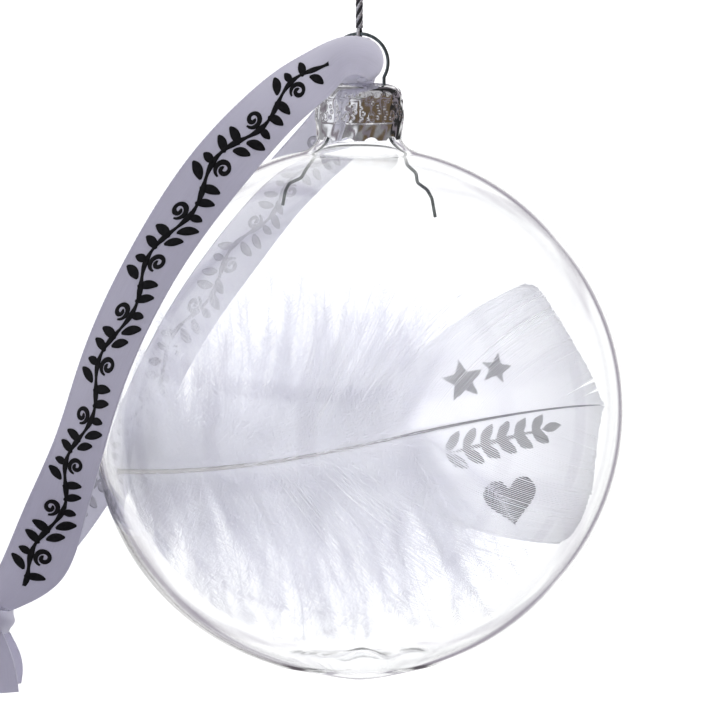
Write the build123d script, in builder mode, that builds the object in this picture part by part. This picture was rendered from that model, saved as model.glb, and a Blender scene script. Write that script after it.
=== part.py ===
"""Clear glass ball ornament with a feather inside, a satin ribbon and a thread loop.

Millimetres, +Z up, +X to the right and -Y to the front. The origin is the hang point, inside
the top of the thread loop, so everything else hangs below it. Heights in the script are counted
from the centre of the ball, and DROP takes them down to the frame.
"""

import math
import os

from build123d import *

os.makedirs("parts", exist_ok=True)

# ---- driving dimensions ----
BALL_R = 40.0  # outside radius of the blown ball
WALL = 1.0  # glass thickness
BASE_Z = -38.4  # the flattened base that the ball can stand on
FOOT_R = 10.5  # outside of the ring that the ball stands on
FOOT_RISE = 0.8  # height of the rounding between that ring and the ball
PUSH_UP_R = 7.0  # hollow in the middle of the base
PUSH_UP = 1.1
NECK_R = 6.1  # outside radius of the neck
NECK_WALL = 0.9
NECK_TOP = 47.3
NECK_FLARE = 3.0  # fillet from the neck to the ball, outside
NECK_FLARE_INSIDE = 3.9

CAP_R = 6.75
CAP_TOP = 49.2
CAP_BOTTOM = 40.95
CAP_METAL = 0.3
CAP_SHOULDER = 2.3  # rounding of the crown
SCALLOPS = 11
SCALLOP_R = 1.5
SCALLOP_DROP = 0.95  # middle of each scallop's arc below the skirt's edge
WIRE_HOLE_R = 0.45

WIRE_R = 0.25
RING_R = 4.3  # to the middle of the wire
RING_Z = 52.4
LEG_X = 3.7  # where each leg goes down through the crown
BEND_R = 0.6  # where the eye's ends turn down into the crown

THREAD_R = 0.55  # the doubled, twisted metallic thread
STRAND_R = 0.28  # one strand of it
BIGHT_R = 0.60  # bend of the strand round the wire
THREAD_LENGTH = 32.0
KNOT_R = 1.25
LOOP_LENGTH = 12.0
LOOP_HALF_WIDTH = 2.9  # where its two sides meet the round top
LOOP_TOP = 5.4  # height of that round top
LOOP_FOOT = 0.45  # half the space between the two sides at the knot
SEAT = 0.25  # how far the loop's ends go into the knot

RIBBON_WIDTH = 10.0
RIBBON_THICK = 0.3
TIE = (-55.4, 0.8, -31.3)  # middle of the ribbon's knot
TIE_R = 3.4

SHAFT_R = 0.45
VANE_THICK = 0.8
DOWN_THICK = 7.0
FEATHER_Y = 0.6  # the feather lies just behind the middle of the ball
FEATHER_REACH = 38.2  # radius that keeps it clear of the inside of the glass
DOWN_END = 9.0  # where the down gives way to the vane
GAP = 0.1  # between pieces of the feather

BIGHT_Z = RING_Z + RING_R
CLEAR = 0.05  # between the thread and what it meets
THREAD_Z = BIGHT_Z + BIGHT_R + STRAND_R + CLEAR  # lower end of the twisted thread
KNOT_Z = THREAD_Z + THREAD_LENGTH + KNOT_R + CLEAR
LOOP_Z = KNOT_Z + KNOT_R - 2 * CLEAR
DROP = LOOP_Z + LOOP_LENGTH  # from the hang point down to the ball's centre


def low(x, y, z):
    """A point given from the ball's centre, in the frame."""
    return Vector(x, y, z - DROP)


def save(piece, name):
    piece.part.label = name
    export_step(piece.part, f"parts/{name}.step")


# ---- glass ball: one shell turned about Z, with a neck, and a base pushed up in the middle ----
INSIDE_R = BALL_R - WALL
BORE_R = NECK_R - NECK_WALL
RIM_R = (NECK_R - BORE_R) / 2  # fire-polished rim of the neck
FLARE_R = NECK_R + NECK_FLARE
FLARE_Z = math.sqrt((BALL_R + NECK_FLARE) ** 2 - FLARE_R**2)
BORE_FLARE_R = BORE_R + NECK_FLARE_INSIDE
BORE_FLARE_Z = math.sqrt((INSIDE_R + NECK_FLARE_INSIDE) ** 2 - BORE_FLARE_R**2)
INSIDE_BASE_Z = BASE_Z + WALL


def round_wall(radius, flare_r, flare_z, foot_z):
    """The ball's wall from its neck flare to its foot, as an arc about the ball's centre."""
    top = math.degrees(math.atan2(flare_z, flare_r))
    foot = math.degrees(math.asin(foot_z / radius))
    return CenterArc((0, 0), radius, top, foot - top)


with BuildPart() as glass_ball:
    with BuildSketch(Plane(low(0, 0, 0), x_dir=(1, 0, 0), z_dir=(0, -1, 0))):
        with BuildLine():
            outside = round_wall(BALL_R, FLARE_R, FLARE_Z, BASE_Z + FOOT_RISE)
            inside = round_wall(INSIDE_R, BORE_FLARE_R, BORE_FLARE_Z, INSIDE_BASE_Z + FOOT_RISE)
            ThreePointArc((BORE_R, NECK_TOP - RIM_R), (NECK_R - RIM_R, NECK_TOP), (NECK_R, NECK_TOP - RIM_R))
            Line((NECK_R, NECK_TOP - RIM_R), (NECK_R, FLARE_Z))
            TangentArc((NECK_R, FLARE_Z), outside @ 0, tangent=(0, -1))
            TangentArc(outside @ 1, (FOOT_R, BASE_Z), tangent=outside % 1)
            Line((FOOT_R, BASE_Z), (PUSH_UP_R, BASE_Z))
            Spline((PUSH_UP_R, BASE_Z), (0, BASE_Z + PUSH_UP), tangents=[(-1, 0), (-1, 0)])
            Line((0, BASE_Z + PUSH_UP), (0, INSIDE_BASE_Z + PUSH_UP))
            Spline((0, INSIDE_BASE_Z + PUSH_UP), (PUSH_UP_R, INSIDE_BASE_Z), tangents=[(1, 0), (1, 0)])
            Line((PUSH_UP_R, INSIDE_BASE_Z), (FOOT_R - WALL, INSIDE_BASE_Z))
            TangentArc((FOOT_R - WALL, INSIDE_BASE_Z), inside @ 1, tangent=(1, 0))
            TangentArc((BORE_R, BORE_FLARE_Z), inside @ 0, tangent=(0, -1))
            Line((BORE_R, BORE_FLARE_Z), (BORE_R, NECK_TOP - RIM_R))
        make_face()
    revolve(axis=Axis.Z)
save(glass_ball, "glass_ball")

# ---- crown cap: thin metal cup with a rounded crown, a scalloped skirt and two wire holes ----
with BuildPart() as cap:
    with BuildSketch(Plane.XY.offset(CAP_BOTTOM - DROP)):
        Circle(CAP_R)
    extrude(amount=CAP_TOP - CAP_BOTTOM)
    fillet(cap.edges().group_by(Axis.Z)[-1], CAP_SHOULDER)
    offset(amount=-CAP_METAL, openings=cap.faces().sort_by(Axis.Z)[0])
    with Locations(low(0, 0, CAP_BOTTOM - SCALLOP_DROP)):
        with PolarLocations(CAP_R, SCALLOPS, start_angle=-90 + 180 / SCALLOPS):
            Cylinder(SCALLOP_R, CAP_R / 2, rotation=(0, 90, 0), mode=Mode.SUBTRACT)
    with Locations(low(-LEG_X, 0, CAP_TOP), low(LEG_X, 0, CAP_TOP)):
        Cylinder(WIRE_HOLE_R, 2 * CAP_SHOULDER, mode=Mode.SUBTRACT)
save(cap, "cap")

# ---- spring wire: an eye above the crown, and two wavy legs that grip inside the neck ----
LEG_TOP = 48.0  # just under the crown
BEND_X = LEG_X + BEND_R
BEND_Z = RING_Z - math.sqrt((RING_R + BEND_R) ** 2 - BEND_X**2)
EYE_SHARE = RING_R / (RING_R + BEND_R)
EYE_END_X, EYE_END_Z = BEND_X * EYE_SHARE, RING_Z - (RING_Z - BEND_Z) * EYE_SHARE

with BuildPart() as wire_eye:
    with BuildLine() as eye_line:
        Line(low(-LEG_X, 0, LEG_TOP), low(-LEG_X, 0, BEND_Z))
        TangentArc(low(-LEG_X, 0, BEND_Z), low(-EYE_END_X, 0, EYE_END_Z), tangent=(0, 0, 1))
        ThreePointArc(low(-EYE_END_X, 0, EYE_END_Z), low(0, 0, BIGHT_Z), low(EYE_END_X, 0, EYE_END_Z))
        TangentArc(low(LEG_X, 0, BEND_Z), low(EYE_END_X, 0, EYE_END_Z), tangent=(0, 0, 1))
        Line(low(LEG_X, 0, BEND_Z), low(LEG_X, 0, LEG_TOP))
    with BuildSketch(Plane(low(-LEG_X, 0, LEG_TOP), x_dir=(1, 0, 0), z_dir=(0, 0, 1))):
        Circle(WIRE_R)
    sweep(path=eye_line.wire())
save(wire_eye, "wire_eye")

LEFT_LEG = [
    (-LEG_X, LEG_TOP),
    (-4.2, 43.6),
    (-4.8, 40.4),
    (-6.9, 37.8),
    (-7.9, 36.4),
    (-8.7, 35.0),
    (-10.5, 34.2),
    (-11.1, 33.0),
    (-11.5, 30.9),
]
RIGHT_LEG = [
    (LEG_X, LEG_TOP),
    (4.2, 43.6),
    (4.8, 40.4),
    (6.9, 37.9),
    (7.2, 36.9),
    (8.5, 35.7),
    (8.7, 34.3),
    (10.2, 33.2),
    (10.9, 31.9),
    (11.4, 29.1),
]


def corner_radii(points, share=0.3):
    """The largest arc at each corner that its two runs leave room for."""
    radii = []
    for before, at, after in zip(points, points[1:], points[2:]):
        runs = (at - before).length, (after - at).length
        turn = math.radians((at - before).get_angle(after - at))
        radii.append(share * min(runs) / math.tan(turn / 2))
    return radii


with BuildPart() as wire_legs:
    for leg in (LEFT_LEG, RIGHT_LEG):
        route = [low(x, 0, z) for x, z in leg]
        with BuildLine() as bent:
            FilletPolyline(*route, radius=corner_radii(route))
        with BuildSketch(Plane(route[0], z_dir=route[1] - route[0])):
            Circle(WIRE_R)
        sweep(path=bent.line)
save(wire_legs, "wire_legs")

# ---- metallic thread: a bight round the wire, the twisted thread, its knot and the top loop ----
with BuildPart() as thread_bight:
    with BuildSketch(Plane(low(0, BIGHT_R, BIGHT_Z), x_dir=(0, 1, 0), z_dir=(0, 0, 1))):
        Circle(STRAND_R)
    revolve(axis=Axis(low(0, 0, BIGHT_Z), (1, 0, 0)))
save(thread_bight, "thread_bight")

with BuildPart() as thread:
    with BuildSketch(Plane.XY.offset(THREAD_Z - DROP)):
        Circle(THREAD_R)
    extrude(amount=THREAD_LENGTH)
save(thread, "thread")

with BuildPart() as thread_knot:
    with Locations(low(0, 0, KNOT_Z)):
        Sphere(KNOT_R)
save(thread_knot, "thread_knot")

with BuildPart() as thread_loop:
    with BuildLine() as loop_line:
        side = Line(low(LOOP_FOOT, 0, LOOP_Z + SEAT), low(LOOP_HALF_WIDTH, 0, DROP - LOOP_TOP))
        top = ThreePointArc(side @ 1, low(0, 0, DROP + STRAND_R), low(-LOOP_HALF_WIDTH, 0, DROP - LOOP_TOP))
        Line(top @ 1, low(-LOOP_FOOT, 0, LOOP_Z + SEAT))
    with BuildSketch(Plane(side @ 0, z_dir=side % 0)):
        Circle(STRAND_R)
    sweep(path=loop_line.line, transition=Transition.ROUND)
save(thread_loop, "thread_loop")

# ---- satin ribbon: one strip from the knot up the front, through the eye and down the back ----
# Each station is the strip's outer edge, its inner edge and how far the strip bulges between them.
FRONT = [
    ((-56.4, -0.9, -27.9), (-52.4, -1.6, -30.2), 0.6),
    ((-53.2, -4.5, -21.1), (-44.6, -8.0, -24.7), 0.5),
    ((-50.1, -8.0, -13.7), (-41.2, -11.0, -16.4), 0.2),
    ((-44.9, -12.5, -1.9), (-37.8, -18.9, -4.3), 0.3),
    ((-41.3, -15.5, 9.0), (-34.3, -22.2, 6.7), 0.3),
    ((-33.8, -17.5, 25.6), (-25.9, -22.5, 23.5), 0.4),
    ((-23.9, -17.0, 40.8), (-17.0, -20.6, 35.4), 0.5),
    ((-17.0, -13.5, 47.9), (-11.6, -17.5, 41.6), 0.6),
    ((-12.3, -9.5, 51.6), (-7.6, -15.0, 45.5), 0.8),
    ((-7.2, -5.2, 54.4), (-3.5, -11.4, 49.0), 1.3),
    ((-1.5, -1.9, 56.3), (-0.4, -7.9, 50.9), 2.2),
    ((1.0, -1.2, 56.0), (1.2, -4.2, 49.9), 2.4),
]
EYE_ARC = ((1.2, 0.0, 55.9), (-0.35, 0.0, 49.72), 3.1)  # curled inside the wire eye
BACK = [
    ((1.2, 1.4, 55.9), (1.4, 3.4, 49.8), 2.3),
    ((-0.2, 3.6, 54.9), (1.9, 8.0, 48.3), 2.0),
    ((-2.9, 8.2, 50.6), (0.9, 13.8, 44.2), 1.2),
    ((-6.3, 14.0, 45.1), (-0.8, 20.0, 39.3), 0.7),
    ((-14.6, 21.5, 35.1), (-8.8, 27.6, 29.5), 0.5),
    ((-22.2, 26.6, 25.4), (-15.7, 32.4, 20.2), 0.4),
    ((-30.6, 26.8, 13.0), (-24.5, 32.5, 7.8), 0.4),
    ((-38.1, 20.0, -0.7), (-31.7, 26.2, -5.2), 0.3),
    ((-44.8, 11.0, -12.0), (-38.9, 17.0, -16.8), 0.3),
    ((-51.0, 5.0, -20.4), (-46.0, 10.2, -25.4), 0.5),
    ((-55.8, 2.0, -27.6), (-52.8, 3.6, -30.3), 0.6),
]
STATIONS = FRONT + [EYE_ARC] + BACK


def strip(stations, thick):
    """A thin strip lofted through the stations, which bulges away from the ball."""
    middles = [(low(*a) + low(*b)) / 2 for a, b, _ in stations]
    before, after = [middles[0], *middles[:-1]], [*middles[1:], middles[-1]]
    with BuildPart() as lofted:
        for (a, b, bulge), middle, back, ahead in zip(stations, middles, before, after):
            across = low(*b) - low(*a)
            half = across.length / 2
            along = (ahead - back) - across * ((ahead - back).dot(across) / across.dot(across))
            with BuildSketch(Plane(middle, x_dir=across, z_dir=along)):
                with BuildLine():
                    ThreePointArc((-half, thick / 2), (0, -bulge + thick / 2), (half, thick / 2))
                    Line((half, thick / 2), (half, -thick / 2))
                    ThreePointArc((half, -thick / 2), (0, -bulge - thick / 2), (-half, -thick / 2))
                    Line((-half, -thick / 2), (-half, thick / 2))
                make_face()
        loft()
    return lofted


ribbon = strip(STATIONS, RIBBON_THICK)
save(ribbon, "ribbon")

with BuildPart() as ribbon_knot:
    with Locations(low(*TIE)):
        Sphere(TIE_R)
save(ribbon_knot, "ribbon_knot")

FRONT_TAIL = [
    ((-57.6, -1.0, -33.2), (-54.0, -1.6, -33.5), 0.4),
    ((-59.9, -1.8, -37.0), (-52.3, -2.6, -37.5), 0.6),
    ((-60.4, -1.6, -43.0), (-51.2, -3.6, -45.2), 0.3),
]
BACK_TAIL = [
    ((-57.0, 2.4, -33.4), (-53.4, 2.0, -33.6), 0.4),
    ((-59.4, 3.8, -36.8), (-51.6, 2.0, -37.2), 0.7),
    ((-60.2, 5.6, -44.2), (-51.4, 3.4, -42.2), 0.3),
]
with BuildPart() as ribbon_tails:
    for tail in (FRONT_TAIL, BACK_TAIL):
        add(strip(tail, RIBBON_THICK).part)
save(ribbon_tails, "ribbon_tails")

# ---- feather: shaft, two vanes and two sides of down, held inside a sphere that clears the glass ----
SHAFT = [(-37.0, -9.6), (-20.0, -10.2), (26.0, 0.5), (36.6, 0.7)]
UPPER_VANE = [(9.5, 12.0), (19.5, 17.6), (26.6, 19.6), (33.7, 8.0), (36.6, 2.6)]
LOWER_VANE = [(36.4, -1.5), (36.2, -11.0), (33.4, -18.2), (28.7, -20.6), (17.0, -17.6), (9.5, -13.5)]
UPPER_DOWN = [(-34.0, 2.0), (-29.0, 12.0), (-20.0, 18.0), (-2.0, 18.6), (9.0, 14.0)]
LOWER_DOWN = [(9.0, -14.0), (8.0, -30.0), (-6.0, -35.5), (-20.0, -32.0), (-33.0, -18.0)]


def feather_plane():
    return Plane(low(0, FEATHER_Y, 0), x_dir=(1, 0, 0), z_dir=(0, -1, 0))


shaft_route = [low(x, FEATHER_Y, z) for x, z in SHAFT]


def shaft_tube(radius, trim):
    """The shaft as a tube. With a wider radius it cuts the room that the barbs leave for it."""
    ends = [shaft_route[0] - (shaft_route[1] - shaft_route[0]).normalized() * trim, *shaft_route[1:-1]]
    ends.append(shaft_route[-1] + (shaft_route[-1] - shaft_route[-2]).normalized() * trim)
    with BuildPart() as tube:
        with BuildLine() as line:
            FilletPolyline(*ends, radius=corner_radii(shaft_route))
        with BuildSketch(Plane(ends[0], z_dir=ends[1] - ends[0])):
            Circle(radius)
        sweep(path=line.line)
    return tube


feather_shaft = shaft_tube(SHAFT_R, 0)
save(feather_shaft, "feather_shaft")
room_for_shaft = shaft_tube(SHAFT_R + GAP, 4)


def shaft_height(x):
    """Height of the shaft's straight runs at x, from the ball's centre."""
    for (x0, z0), (x1, z1) in zip(SHAFT, SHAFT[1:]):
        if x <= x1 or x1 == SHAFT[-1][0]:
            return z0 + (z1 - z0) * (x - x0) / (x1 - x0)


def barbs(outline, root_x, thick):
    """A flat side of the feather between the shaft's line and its outline, clear of shaft and glass."""
    roots = [(x, shaft_height(x)) for x in root_x]
    with BuildPart() as side:
        with BuildSketch(feather_plane()):
            with BuildLine():
                Polyline(*outline, *roots, close=True)
            make_face()
        extrude(amount=thick / 2, both=True)
        with Locations(low(0, 0, 0)):
            Sphere(FEATHER_REACH, mode=Mode.INTERSECT)
        add(room_for_shaft.part, mode=Mode.SUBTRACT)
    return side


vane_upper = barbs(UPPER_VANE, (36.4, 26.0, DOWN_END + GAP), VANE_THICK)
vane_lower = barbs(LOWER_VANE, (DOWN_END + GAP, 26.0, 36.4), VANE_THICK)
down_upper = barbs(UPPER_DOWN, (DOWN_END, -20.0, -35.0), DOWN_THICK)
down_lower = barbs(LOWER_DOWN, (-35.0, -20.0, DOWN_END), DOWN_THICK)
save(vane_upper, "vane_upper")
save(vane_lower, "vane_lower")
save(down_upper, "down_upper")
save(down_lower, "down_lower")

print(f"ball centre {DROP:.2f} mm below the hang point, thread {THREAD_LENGTH:.1f} mm long")
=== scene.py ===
"""A clear glass ball with a feather inside, hung by a metallic thread, with a satin ribbon.

Lengths in this script are millimetres from the centre of the ball, +X to the right, -Y to the
front and +Z up. in_frame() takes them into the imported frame, in metres.
"""

import math
import random

import bmesh
import bpy
import numpy as np
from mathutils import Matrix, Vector


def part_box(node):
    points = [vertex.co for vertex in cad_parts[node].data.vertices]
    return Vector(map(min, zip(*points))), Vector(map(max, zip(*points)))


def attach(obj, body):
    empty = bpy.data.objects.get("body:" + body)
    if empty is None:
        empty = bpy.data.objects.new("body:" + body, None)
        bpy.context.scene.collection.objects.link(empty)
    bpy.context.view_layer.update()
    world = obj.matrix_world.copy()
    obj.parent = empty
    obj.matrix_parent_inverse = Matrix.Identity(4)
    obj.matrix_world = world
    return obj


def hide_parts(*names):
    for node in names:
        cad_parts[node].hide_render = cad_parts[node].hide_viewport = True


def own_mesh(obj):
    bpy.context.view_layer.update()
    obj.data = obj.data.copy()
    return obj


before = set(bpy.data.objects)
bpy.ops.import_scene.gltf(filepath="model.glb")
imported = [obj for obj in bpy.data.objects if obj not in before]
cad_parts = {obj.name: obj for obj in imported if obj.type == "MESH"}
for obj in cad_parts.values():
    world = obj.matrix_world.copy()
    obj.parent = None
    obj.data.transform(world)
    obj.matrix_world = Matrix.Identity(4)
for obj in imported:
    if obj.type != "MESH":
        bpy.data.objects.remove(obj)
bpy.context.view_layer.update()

MM = 0.001
BASE_Z = -38.4  # the ball's flat base, below its centre
ball_low, ball_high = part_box("glass_ball")
BALL_R = (ball_high.x - ball_low.x) / 2 / MM
CENTRE_Z = ball_low.z - BASE_Z * MM


def in_frame(points):
    """Millimetres from the ball's centre, as an array of points in the frame, in metres."""
    return np.asarray(points, float) * MM + (0.0, 0.0, CENTRE_Z)


# ---- shapes


class Shape:
    """Points and faces of one piece, in millimetres, added one skin at a time."""

    def __init__(self):
        self.points, self.faces, self.kinds, self.uvs = [], [], [], []

    def add(self, points, faces, kind=0):
        first = len(self.points)
        self.points.extend(points)
        self.faces.extend([tuple(first + i for i in face) for face in faces])
        self.kinds.extend([kind] * len(faces))

    def rings(self, rows, kind=0, hoop=False):
        """Rings of equal length joined along their run, which is a hoop or has flat ends."""
        n = len(rows[0])
        faces = []
        for i in range(len(rows) - (not hoop)):
            here, ahead = i * n, (i + 1) % len(rows) * n
            for j in range(n):
                k = (j + 1) % n
                faces.append((here + j, here + k, ahead + k, ahead + j))
        if not hoop:
            faces.append(tuple(reversed(range(n))))
            faces.append(tuple(range(ahead, ahead + n)))
        self.add([p for row in rows for p in row], faces, kind)
        return self


def make(name, shape, materials, body, slot, replaces=(), smooth=True, outwards=True):
    """A piece in the frame that rides on its body and stands for the CAD nodes it replaces."""
    mesh = bpy.data.meshes.new(name)
    mesh.from_pydata(in_frame(shape.points).tolist(), [], shape.faces)
    for material in materials:
        mesh.materials.append(material)
    mesh.polygons.foreach_set("material_index", shape.kinds)
    if smooth:
        mesh.polygons.foreach_set("use_smooth", [True] * len(mesh.polygons))
    mesh.update()
    piece = bpy.data.objects.new(name, mesh)
    bpy.context.scene.collection.objects.link(piece)
    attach(piece, body)
    if replaces:
        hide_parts(*replaces)
    if outwards:
        face_outwards(mesh)
    if shape.uvs:
        corners = np.zeros(len(mesh.loops), np.int32)
        mesh.loops.foreach_get("vertex_index", corners)
        layer = mesh.uv_layers.new(name="along_and_across")
        layer.data.foreach_set("uv", np.array(shape.uvs, np.float32)[corners].ravel())
    return piece


def face_outwards(mesh):
    """Turns every face of a closed mesh to the outside."""
    edited = bmesh.new()
    edited.from_mesh(mesh)
    bmesh.ops.recalc_face_normals(edited, faces=edited.faces)
    edited.to_mesh(mesh)
    edited.free()


def unit(vectors):
    vectors = np.asarray(vectors, float)
    return vectors / np.maximum(np.linalg.norm(vectors, axis=-1, keepdims=True), 1e-9)


def bent(start, corner, end, t):
    """The place at share t of a curve from start to end that bends towards the corner."""
    return (1 - t) ** 2 * start + 2 * t * (1 - t) * corner + t * t * end


def kinked(points, share=0.22, steps=4):
    """Straight runs with a small round bend at each corner, as pliers leave in spring wire."""
    points = np.asarray(points, float)
    line = [points[0]]
    for before, corner, after in zip(points, points[1:], points[2:]):
        reach = share * min(np.linalg.norm(corner - before), np.linalg.norm(after - corner))
        start, end = corner + unit(before - corner) * reach, corner + unit(after - corner) * reach
        line.extend(bent(start, corner, end, t) for t in np.linspace(0, 1, steps + 1))
    return np.array([*line, points[-1]])


def softened(points, steps=6):
    """A quadratic curve that runs from the first point to the last and rounds every corner."""
    points = np.asarray(points, float)
    joints = [points[0], *(points[1:-2] + points[2:-1]) / 2, points[-1]]
    line = [points[0]]
    for start, corner, end in zip(joints, points[1:-1], joints[1:]):
        line.extend(bent(start, corner, end, t) for t in np.linspace(0, 1, steps + 1)[1:])
    return np.array(line)


def spline(places, values):
    """A natural cubic spline through the values at their places, as a function of the place."""
    x, y = np.asarray(places, float), np.asarray(values, float)
    h, count = np.diff(x), len(x)
    matrix, right = np.eye(count), np.zeros_like(y)
    for i in range(1, count - 1):
        matrix[i, i - 1 : i + 2] = h[i - 1], 2 * (h[i - 1] + h[i]), h[i]
        right[i] = 6 * ((y[i + 1] - y[i]) / h[i] - (y[i] - y[i - 1]) / h[i - 1])
    bend = np.linalg.solve(matrix, right)

    def value(place):
        place = np.clip(np.asarray(place, float), x[0], x[-1])
        i = np.clip(np.searchsorted(x, place) - 1, 0, count - 2)
        run, ahead, behind = h[i][:, None], (x[i + 1] - place)[:, None], (place - x[i])[:, None]
        curved = (bend[i] * ahead**3 + bend[i + 1] * behind**3) / (6 * run)
        straight = (y[i] / run - bend[i] * run / 6) * ahead
        straight += (y[i + 1] / run - bend[i + 1] * run / 6) * behind
        return curved + straight

    return value


def full_turn(count):
    """Angles evenly round a circle."""
    return np.arange(count) * 2 * math.pi / count


def lengths_along(points):
    """Distance from the start of a line to each of its points."""
    return np.concatenate([[0.0], np.cumsum(np.linalg.norm(np.diff(points, axis=0), axis=1))])


def frames_along(path):
    """Tangent, normal and binormal at each point of a path, turned as little as possible."""
    path = np.asarray(path, float)
    tangents = unit(np.gradient(path, axis=0))
    side = np.array([0.0, 1.0, 0.0]) if abs(tangents[0][1]) < 0.9 else np.array([1.0, 0.0, 0.0])
    normals = []
    for tangent in tangents:
        side = unit(side - tangent * side.dot(tangent))
        normals.append(side)
    normals = np.array(normals)
    return tangents, normals, np.cross(tangents, normals)


def tube_rings(path, radii, sides=8):
    """Round rings along a path. radii is one number, or one for each point."""
    _, normals, binormals = frames_along(path)
    radii = np.broadcast_to(np.asarray(radii, float), (len(path),))
    turns = full_turn(sides)
    circle = np.cos(turns)[:, None] * normals[:, None] + np.sin(turns)[:, None] * binormals[:, None]
    return np.asarray(path)[:, None] + circle * radii[:, None, None]


def helix(path, radius, pitch, phase):
    """A ply of a twisted thread, wound round the path."""
    _, normals, binormals = frames_along(path)
    turn = lengths_along(path) / pitch * 2 * math.pi + phase
    return path + radius * (np.cos(turn)[:, None] * normals + np.sin(turn)[:, None] * binormals)


def resampled(path, step):
    """The same line with its points a given step apart."""
    at = lengths_along(path)
    places = np.linspace(0, at[-1], max(2, round(at[-1] / step) + 1))
    return np.stack([np.interp(places, at, path[:, k]) for k in range(3)], axis=1)


def blade_rings(path, widths, thick):
    """Flat rings of four points along a path near the feather's plane, for a barb or its ink."""
    tangents = unit(np.gradient(path, axis=0))
    side = unit(np.cross(tangents, (0.0, 1.0, 0.0)))
    face = np.cross(side, tangents) * thick / 2
    half = side * (np.asarray(widths, float) / 2)[:, None]
    return np.stack([path + half, path + face, path - half, path - face], axis=1)


def smooth_step(low, high, value):
    t = np.clip((value - low) / (high - low), 0, 1)
    return t * t * (3 - 2 * t)


# ---- materials


def plug(tree, socket, value):
    """Links another node's output to a socket, or sets the socket to a plain value."""
    if isinstance(value, bpy.types.NodeSocket):
        tree.links.new(value, socket)
    else:
        socket.default_value = value


class Look:
    """A node material round one Principled shader."""

    def __init__(self, name, colour, roughness, **settings):
        self.material = bpy.data.materials.new(name)
        self.material.use_nodes = True
        self.tree = self.material.node_tree
        self.shader = self.tree.nodes["Principled BSDF"]
        self.shader.inputs["Base Color"].default_value = (*colour, 1.0)
        self.shader.inputs["Roughness"].default_value = roughness
        for socket, value in settings.items():
            self.shader.inputs[socket.replace("_", " ")].default_value = value

    def node(self, kind, **inputs):
        made = self.tree.nodes.new(kind)
        for socket, value in inputs.items():
            plug(self.tree, made.inputs[socket.replace("_", " ")], value)
        return made

    def noise(self, scale, detail=3.0, stretch=(1, 1, 1), of="Object"):
        """Noise over one of the texture coordinates, which is scaled along each axis first."""
        source = self.node("ShaderNodeTexCoord").outputs[of]
        at = self.node("ShaderNodeMapping", Vector=source, Scale=stretch).outputs["Vector"]
        return self.node("ShaderNodeTexNoise", Vector=at, Scale=scale, Detail=detail).outputs["Fac"]

    def colour(self, value, stops):
        """Base colours at their places along a value."""
        made = self.node("ShaderNodeValToRGB", Fac=value)
        while len(made.color_ramp.elements) < len(stops):
            made.color_ramp.elements.new(0.5)
        for element, (place, colour) in zip(made.color_ramp.elements, stops):
            element.position = place
            element.color = (*colour, 1.0)
        self.tree.links.new(made.outputs["Color"], self.shader.inputs["Base Color"])
        return self

    def gloss(self, value, low, high):
        made = self.node("ShaderNodeMapRange", Value=value, To_Min=low, To_Max=high)
        self.tree.links.new(made.outputs["Result"], self.shader.inputs["Roughness"])
        return self

    def lit_through(self, share, colour):
        """Lets a share of the light through, as thin cloth and feather do."""
        through = self.node("ShaderNodeBsdfTranslucent", Color=(*colour, 1.0))
        mixed = self.node("ShaderNodeMixShader", Fac=share)
        surface = self.tree.nodes["Material Output"].inputs["Surface"]
        self.tree.links.new(self.shader.outputs["BSDF"], mixed.inputs[1])
        self.tree.links.new(through.outputs["BSDF"], mixed.inputs[2])
        self.tree.links.new(mixed.outputs["Shader"], surface)
        return self

    def bump(self, height, strength, distance):
        made = self.node("ShaderNodeBump", Height=height, Strength=strength, Distance=distance)
        self.tree.links.new(made.outputs["Normal"], self.shader.inputs["Normal"])
        return self


def glass_look():
    look = Look("blown_glass", (0.985, 0.99, 0.995), 0.0, Transmission_Weight=1.0, IOR=1.5)
    waves = look.noise(28.0, 1.0)
    return look.bump(waves, 0.15, 0.00004).material


def foil_look():
    look = Look("embossed_foil", (0.76, 0.76, 0.77), 0.16, Metallic=1.0)
    grain = look.noise(900.0)
    look.colour(grain, [(0.3, (0.66, 0.66, 0.67)), (0.7, (0.86, 0.86, 0.87))])
    return look.gloss(grain, 0.05, 0.15).bump(grain, 0.25, 0.00003).material


def wire_look(name, dark, light):
    look = Look(name, light, 0.3, Metallic=1.0)
    drawn = look.noise(3000.0, stretch=(1, 1, 0.15))
    look.colour(drawn, [(0.3, dark), (0.7, light)])
    return look.gloss(drawn, 0.22, 0.42).material


def thread_look(name, dark, light, metallic, roughness):
    look = Look(name, light, roughness, Metallic=metallic)
    wraps = look.noise(1600.0, stretch=(1, 1, 4))
    look.colour(wraps, [(0.35, dark), (0.65, light)])
    look.gloss(wraps, roughness * 0.7, roughness * 1.3)
    return look.bump(wraps, 0.5, 0.00005).material


def satin_look(name, low, high):
    """Satin: long floats of thread along the strip give fine streaks and a soft sheen."""
    sheen = {"Sheen_Weight": 0.25, "Sheen_Roughness": 0.4}
    look = Look(name, high, 0.42, Specular_IOR_Level=0.35, **sheen)
    streaks = look.noise(1.0, 4.0, (0.25, 9.0, 1), "UV")
    floats = look.noise(1.0, 2.0, (3.0, 7.0, 1), "UV")
    look.colour(streaks, [(0.25, low), (0.75, high)])
    look.gloss(streaks, 0.36, 0.5).bump(floats, 0.35, 0.00003)
    return look.lit_through(0.18, high).material


def ink_look(name, colour, roughness):
    look = Look(name, colour, roughness, Specular_IOR_Level=0.15)
    dabs = look.noise(1500.0)
    thin = tuple(min(1.0, c * 1.2 + 0.01) for c in colour)
    look.colour(dabs, [(0.35, colour), (0.75, thin)])
    return look.gloss(dabs, roughness * 0.8, roughness).material


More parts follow.
